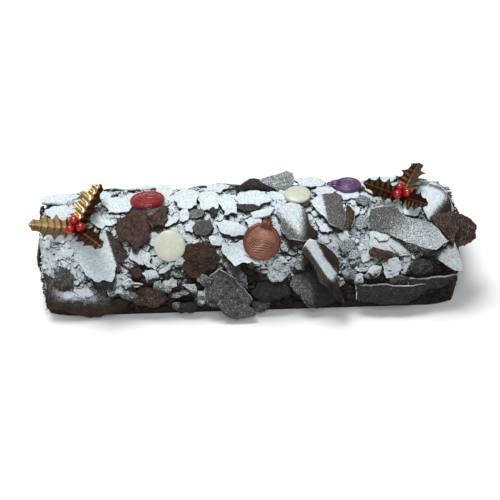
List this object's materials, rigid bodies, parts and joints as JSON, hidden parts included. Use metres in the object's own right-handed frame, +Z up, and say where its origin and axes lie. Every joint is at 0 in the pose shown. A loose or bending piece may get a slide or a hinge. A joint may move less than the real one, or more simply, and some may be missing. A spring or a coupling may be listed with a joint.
{
  "type": "yule log cake",
  "caption": "Arched yule log cake under broken dark chocolate bark and icing sugar, with chocolate baubles, white chocolate discs and gold holly picks.",
  "frame": {"origin": "middle of the flat base that the cake rests on", "axes": "+X along the log towards the end with the lone upright holly pick, +Y towards the back, +Z up"},
  "size_m": [0.3569, 0.1238, 0.0945],
  "materials": {
    "bark": "thin dark chocolate with a light dusting of icing sugar",
    "dusted": "dark chocolate under a thick dusting of icing sugar",
    "bare": "broken dark chocolate with no sugar on it",
    "cream": "chocolate buttercream under flakes, crumbs and icing sugar",
    "white_chocolate": "smooth white chocolate",
    "copper": "chocolate brushed with copper lustre",
    "red": "chocolate brushed with red lustre",
    "purple": "chocolate brushed with purple lustre",
    "gold_leaf": "metallised gold plastic with ribs",
    "berry": "glossy red plastic"
  },
  "bodies": {
    "root": {"band_left_low": "bark", "bauble_copper": "copper", "bauble_purple": "purple", "bauble_red": "red", "bean_front_low": "bark", "blade_back_mid": "bark", "blade_right": "bark", "corner_right_top": "bark", "curl_back_left": "dusted", "curl_back_mid": "bark", "fan_right": "bark", "flap_back_mid": "bare", "fold_right_top": "bark", "holly_left_berry_1": "berry", "holly_left_berry_2": "berry", "holly_left_berry_3": "berry", "holly_left_leaf_1": "gold_leaf", "holly_left_leaf_2": "gold_leaf", "holly_left_leaf_3": "gold_leaf", "holly_left_stem": "gold_leaf", "holly_right_berry_1": "berry", "holly_right_berry_2": "berry", "holly_right_berry_3": "berry", "holly_right_leaf_1": "gold_leaf", "holly_right_leaf_2": "gold_leaf", "holly_right_leaf_3": "gold_leaf", "holly_right_stem": "gold_leaf", "log": "cream", "lump_mid": "dusted", "notched_bare_left": "bare", "oval_right_end": "bare", "patch_bare_mid": "bare", "peak_top_left": "dusted", "plate_back_left": "bark", "plate_left": "dusted", "ridge_right": "dusted", "round_left_low": "bark", "sail_back_left": "bark", "sail_front_mid": "bark", "shield_back_right": "bark", "slab_front_mid": "bark", "slab_left_low": "bark", "slab_left_top": "dusted", "slab_right_end": "dusted", "slab_right_low": "bark", "slab_top_left": "dusted", "slab_top_low": "dusted", "slab_top_mid": "dusted", "slab_top_round": "dusted", "star_mid": "dusted", "strip_back_low": "bark", "strip_right_back": "bark", "strip_right_low": "bark", "tooth_right_end": "bark", "torn_back_right": "bark", "torn_bare_left": "bare", "trough_right": "bark", "wedge_mid": "bark", "white_disc_front": "white_chocolate", "white_disc_top": "white_chocolate"}
  },
  "joints": []
}
